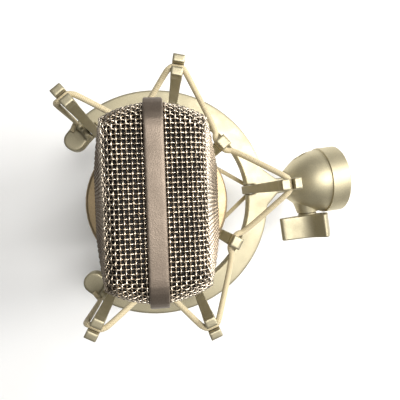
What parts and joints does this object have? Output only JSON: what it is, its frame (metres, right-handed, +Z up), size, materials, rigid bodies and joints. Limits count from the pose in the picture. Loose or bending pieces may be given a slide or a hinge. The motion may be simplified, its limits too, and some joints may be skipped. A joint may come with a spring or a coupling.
{
  "type": "ribbon microphone",
  "caption": "Side-address ribbon microphone in a cord-suspended shock mount with a tilting stand socket and wing knob.",
  "frame": {"origin": "middle of the stand socket's mouth", "axes": "+X out of the stand socket's mouth along the stand, +Z up along the microphone, +Y across, with the knob on the -Y side"},
  "size_m": [0.1401, 0.115, 0.1674],
  "materials": {
    "champagne": "satin champagne paint over cast and turned metal",
    "pale": "satin pale champagne paint over die-cast metal",
    "nickel": "nickel-champagne plated woven wire",
    "steel": "plain steel, satin",
    "cord": "champagne braided cover over elastic",
    "rubber": "matt black rubber",
    "black": "matt black",
    "brass": "machined brass",
    "board": "green glass-fibre board",
    "foil": "bare corrugated foil",
    "red": "red insulated wire"
  },
  "bodies": {
    "stand_adaptor": {"stand_socket": "champagne", "thread_reducer": "brass", "pivot_bolt": "steel"},
    "clamp_knob": {"wing_knob": "pale", "knob_insert": "brass"},
    "outer_frame": {"outer_ring": "pale", "outer_post_1": "pale", "outer_post_2": "pale", "outer_post_3": "pale", "outer_post_4": "pale", "outer_post_5": "pale", "friction_washer_1": "steel", "friction_washer_2": "steel", "upper_elastic": "cord", "lower_elastic": "cord"},
    "cradle": {"cradle_post_1": "pale", "cradle_post_2": "pale", "cradle_post_3": "pale", "cradle_post_4": "pale", "cradle_base": "pale"},
    "seat_pad": {"cradle_pad": "rubber"},
    "collar": {"collar_nut": "champagne"},
    "microphone": {"body_tube": "champagne", "body_base": "champagne", "xlr_insert": "black", "xlr_pin_1": "brass", "xlr_pin_2": "brass", "xlr_pin_3": "brass", "head_base": "champagne", "front_grille": "nickel", "front_inner_mesh": "steel", "rear_grille": "nickel", "rear_inner_mesh": "steel", "head_band": "champagne", "motor_yoke": "steel", "magnet_left": "black", "magnet_right": "black", "ribbon": "foil", "ribbon_clamp_bottom": "brass", "clamp_bottom_screw_left": "steel", "clamp_bottom_screw_right": "steel", "ribbon_clamp_top": "brass", "clamp_top_screw_left": "steel", "clamp_top_screw_right": "steel", "motor_bridge": "steel", "motor_grommet_left": "rubber", "motor_grommet_right": "rubber", "chassis_rail_left": "steel", "chassis_rail_right": "steel", "chassis_plate": "steel", "output_transformer": "steel", "terminal_board": "board", "motor_lead_red": "red", "motor_lead_black": "black"}
  },
  "joints": [
    {"name": "tilt", "type": "hinge", "parent": "stand_adaptor", "child": "outer_frame", "pos_m": [-0.0183, 0, 0], "axis": [0, 1, 0], "range_deg": [-85, 8]},
    {"name": "knob_turn", "type": "hinge", "parent": "stand_adaptor", "child": "clamp_knob", "pos_m": [-0.0183, -0.02, 0], "axis": [0, 1, 0], "continuous": true},
    {"name": "suspension", "type": "slide", "parent": "outer_frame", "child": "cradle", "axis": [0, 0, 1], "range_m": [-0.005, 0.005], "stiffness_N_per_m": 2500, "springref_m": 0.0034, "deforming": ["upper_elastic", "lower_elastic"]},
    {"name": "microphone_turn", "type": "hinge", "parent": "cradle", "child": "seat_pad", "pos_m": [-0.0973, 0, -0.045], "axis": [0, 0, 1], "continuous": true},
    {"name": "microphone_lift", "type": "slide", "parent": "seat_pad", "child": "microphone", "axis": [0, 0, 1], "range_m": [0, 0.11]},
    {"name": "collar_turn", "type": "hinge", "parent": "cradle", "child": "collar", "pos_m": [-0.0973, 0, -0.055], "axis": [0, 0, 1], "continuous": true}
  ]
}
